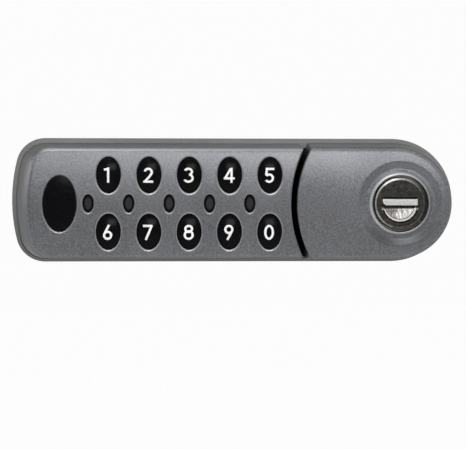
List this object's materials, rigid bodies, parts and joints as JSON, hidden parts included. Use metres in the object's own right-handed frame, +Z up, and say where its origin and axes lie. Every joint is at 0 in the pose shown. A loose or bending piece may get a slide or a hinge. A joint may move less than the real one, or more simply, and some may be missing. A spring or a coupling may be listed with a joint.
{
  "type": "electronic cabinet lock",
  "caption": "Keypad cabinet lock: a long grey case with oval number keys and a turning handle with a key override, on one base plate with a cam behind the door.",
  "frame": {"origin": "on the handle's axis, in the plane of the door's front face", "axes": "+X along the lock away from the keypad, +Y into the door, +Z up; the front faces -Y"},
  "size_m": [0.1526, 0.0452, 0.0426],
  "materials": {
    "grey_paint": "fine metallic grey powder paint, satin",
    "base_paint": "plain grey paint, satin",
    "gasket_foam": "matt closed-cell foam",
    "zinc_plate": "zinc plated",
    "nickel_plate": "nickel plated",
    "dark_nickel": "dark satin nickel, turned",
    "bright_steel": "polished",
    "wafer_brass": "stamped",
    "black_gloss": "glossy moulded",
    "smoked_window": "smoked, satin",
    "silicone": "translucent grey silicone",
    "board_green": "solder mask",
    "led_epoxy": "clear epoxy over a pale base",
    "chip_epoxy": "moulded epoxy",
    "black_plastic": "moulded",
    "cell_wrap": "printed steel can, plain",
    "motor_steel": "pressed steel can",
    "white_acetal": "natural acetal",
    "digit_print": "white pad print on the keys"
  },
  "bodies": {
    "lock_body": {"rear_gasket": "gasket_foam", "base_plate": "base_paint", "rear_plate": "zinc_plate", "plate_screws": "zinc_plate", "cover_screws": "zinc_plate", "handle_washer": "white_acetal", "keypad_cover": "grey_paint", "badge": "black_gloss", "indicator_windows": "smoked_window", "keypad_membrane": "silicone", "circuit_board": "board_green", "board_screws": "zinc_plate", "status_leds": "led_epoxy", "control_chip": "chip_epoxy", "buzzer": "chip_epoxy", "battery_holder": "black_plastic", "battery_cells": "cell_wrap", "battery_contacts": "nickel_plate", "battery_springs": "nickel_plate", "lock_motor": "motor_steel", "motor_clamp": "zinc_plate", "clamp_screw": "zinc_plate"},
    "handle": {"handle": "grey_paint", "cylinder_housing": "nickel_plate", "handle_screws": "zinc_plate", "locking_disc": "zinc_plate", "spindle_nut": "zinc_plate"},
    "key_plug": {"key_plug": "dark_nickel", "lock_wafers": "wafer_brass", "shutter_pin": "bright_steel", "cam_lever": "zinc_plate", "cam_washer": "zinc_plate", "cam_bolt": "zinc_plate"},
    "plug_shutter": {"plug_shutter": "bright_steel"},
    "drive_screw": {"drive_screw": "bright_steel"},
    "blocking_bolt": {"blocking_bolt": "zinc_plate"},
    "key_1": {"key_cap_1": "black_gloss"},
    "key_2": {"key_cap_2": "black_gloss"},
    "key_3": {"key_cap_3": "black_gloss"},
    "key_4": {"key_cap_4": "black_gloss"},
    "key_5": {"key_cap_5": "black_gloss"},
    "key_6": {"key_cap_6": "black_gloss"},
    "key_7": {"key_cap_7": "black_gloss"},
    "key_8": {"key_cap_8": "black_gloss"},
    "key_9": {"key_cap_9": "black_gloss"},
    "key_0": {"key_cap_0": "black_gloss"}
  },
  "joints": [
    {"name": "handle_turn", "type": "hinge", "parent": "lock_body", "child": "handle", "pos_m": [0, 0, 0], "axis": [0, 1, 0], "range_deg": [0, 90]},
    {"name": "key_plug_turn", "type": "hinge", "parent": "handle", "child": "key_plug", "pos_m": [0, 0, 0], "axis": [0, 1, 0], "range_deg": [0, 90]},
    {"name": "shutter_swing", "type": "hinge", "parent": "key_plug", "child": "plug_shutter", "pos_m": [0, -0.0228, 0.00115], "axis": [1, 0, 0], "range_deg": [0, 70], "stiffness_Nm_per_rad": 0.0004},
    {"name": "bolt_slide", "type": "slide", "parent": "lock_body", "child": "blocking_bolt", "axis": [1, 0, 0], "range_m": [0, 0.00225]},
    {"name": "drive_screw_turn", "type": "hinge", "parent": "lock_body", "child": "drive_screw", "pos_m": [-0.044, -0.0063, 0.00945], "axis": [1, 0, 0], "range_deg": [0, 270]},
    {"name": "key_1_press", "type": "slide", "parent": "lock_body", "child": "key_1", "axis": [0, 1, 0], "range_m": [0, 0.0007], "stiffness_N_per_m": 1000, "deforming": ["keypad_membrane"]},
    {"name": "key_2_press", "type": "slide", "parent": "lock_body", "child": "key_2", "axis": [0, 1, 0], "range_m": [0, 0.0007], "stiffness_N_per_m": 1000, "deforming": ["keypad_membrane"]},
    {"name": "key_3_press", "type": "slide", "parent": "lock_body", "child": "key_3", "axis": [0, 1, 0], "range_m": [0, 0.0007], "stiffness_N_per_m": 1000, "deforming": ["keypad_membrane"]},
    {"name": "key_4_press", "type": "slide", "parent": "lock_body", "child": "key_4", "axis": [0, 1, 0], "range_m": [0, 0.0007], "stiffness_N_per_m": 1000, "deforming": ["keypad_membrane"]},
    {"name": "key_5_press", "type": "slide", "parent": "lock_body", "child": "key_5", "axis": [0, 1, 0], "range_m": [0, 0.0007], "stiffness_N_per_m": 1000, "deforming": ["keypad_membrane"]},
    {"name": "key_6_press", "type": "slide", "parent": "lock_body", "child": "key_6", "axis": [0, 1, 0], "range_m": [0, 0.0007], "stiffness_N_per_m": 1000, "deforming": ["keypad_membrane"]},
    {"name": "key_7_press", "type": "slide", "parent": "lock_body", "child": "key_7", "axis": [0, 1, 0], "range_m": [0, 0.0007], "stiffness_N_per_m": 1000, "deforming": ["keypad_membrane"]},
    {"name": "key_8_press", "type": "slide", "parent": "lock_body", "child": "key_8", "axis": [0, 1, 0], "range_m": [0, 0.0007], "stiffness_N_per_m": 1000, "deforming": ["keypad_membrane"]},
    {"name": "key_9_press", "type": "slide", "parent": "lock_body", "child": "key_9", "axis": [0, 1, 0], "range_m": [0, 0.0007], "stiffness_N_per_m": 1000, "deforming": ["keypad_membrane"]},
    {"name": "key_0_press", "type": "slide", "parent": "lock_body", "child": "key_0", "axis": [0, 1, 0], "range_m": [0, 0.0007], "stiffness_N_per_m": 1000, "deforming": ["keypad_membrane"]}
  ],
  "couplings": [
    {"joint": "drive_screw_turn", "follows": "bolt_slide", "rad_per_m": 2094.3}
  ]
}
